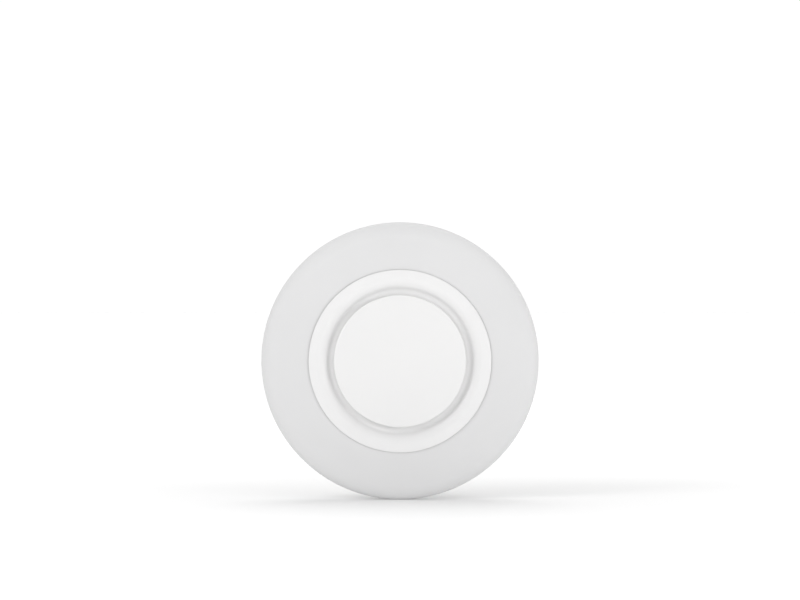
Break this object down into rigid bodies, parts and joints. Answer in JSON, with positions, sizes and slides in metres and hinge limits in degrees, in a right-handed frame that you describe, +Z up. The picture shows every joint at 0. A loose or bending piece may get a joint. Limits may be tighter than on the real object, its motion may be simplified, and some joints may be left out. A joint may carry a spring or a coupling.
{
  "type": "concealed sidewall fire sprinkler head",
  "caption": "Concealed sidewall fire sprinkler with a flat drop-off cover, stepped trim ring, wide wall flange, support cup and retracted deflector.",
  "frame": {"origin": "centre of the wall opening, on the head's axis in the plane of the wall", "axes": "+Y along the head's axis into the wall, towards the pipe; -Y into the room; +Z up"},
  "size_m": [0.1468, 0.0654, 0.1468],
  "materials": {
    "flange_plastic": "matte moulded",
    "white_paint": "satin powder coat",
    "foam_rubber": "closed-cell foam",
    "cast_brass": "as cast and machined",
    "sleeve_brass": "rolled sheet",
    "sheet_bronze": "stamped sheet",
    "zinc_steel": "zinc plated",
    "stainless": "turned",
    "spring_steel": "tempered",
    "soft_solder": "dull",
    "seal_plastic": "waxy",
    "bulb_glass": "clear, red liquid"
  },
  "bodies": {
    "head": {"sprinkler_frame": "cast_brass", "support_cup": "zinc_steel", "cup_lock_ring": "zinc_steel", "load_screw": "stainless", "glass_bulb": "bulb_glass", "guide_yoke": "sheet_bronze", "yoke_retaining_ring": "spring_steel", "pip_cap": "sheet_bronze", "belleville_spring": "spring_steel", "ptfe_seal": "seal_plastic", "deflector_spring_left": "spring_steel", "deflector_spring_right": "spring_steel"},
    "drop_deflector": {"deflector": "sheet_bronze", "guide_pin_left": "stainless", "guide_pin_right": "stainless", "pin_stop_left": "spring_steel", "pin_stop_right": "spring_steel"},
    "trim": {"wall_flange": "flange_plastic", "flange_gasket": "foam_rubber", "trim_ring": "white_paint"},
    "retainer": {"cover_retainer": "sleeve_brass", "ejection_spring": "spring_steel"},
    "cover": {"cover_plate": "white_paint", "solder_pad_1": "soft_solder", "solder_pad_2": "soft_solder", "solder_pad_3": "soft_solder"}
  },
  "joints": [
    {"name": "trim_adjust", "type": "slide", "parent": "head", "child": "trim", "axis": [0, -1, 0], "range_m": [0, 0.0128]},
    {"name": "retainer_turn", "type": "hinge", "parent": "trim", "child": "retainer", "pos_m": [0, 0, 0], "axis": [0, -1, 0], "range_deg": [0, 1440]},
    {"name": "cover_release", "type": "slide", "parent": "retainer", "child": "cover", "axis": [0, -1, 0], "range_m": [0, 0.06]},
    {"name": "deflector_travel", "type": "slide", "parent": "head", "child": "drop_deflector", "axis": [0, -1, 0], "range_m": [0, 0.0181], "deforming": ["deflector_spring_left", "deflector_spring_right"]}
  ],
  "couplings": [
    {"joint": "trim_adjust", "follows": "retainer_turn", "m_per_rad": 0.00050532},
    {"joint": "deflector_travel", "follows": "cover_release", "ratio": 0.3}
  ]
}
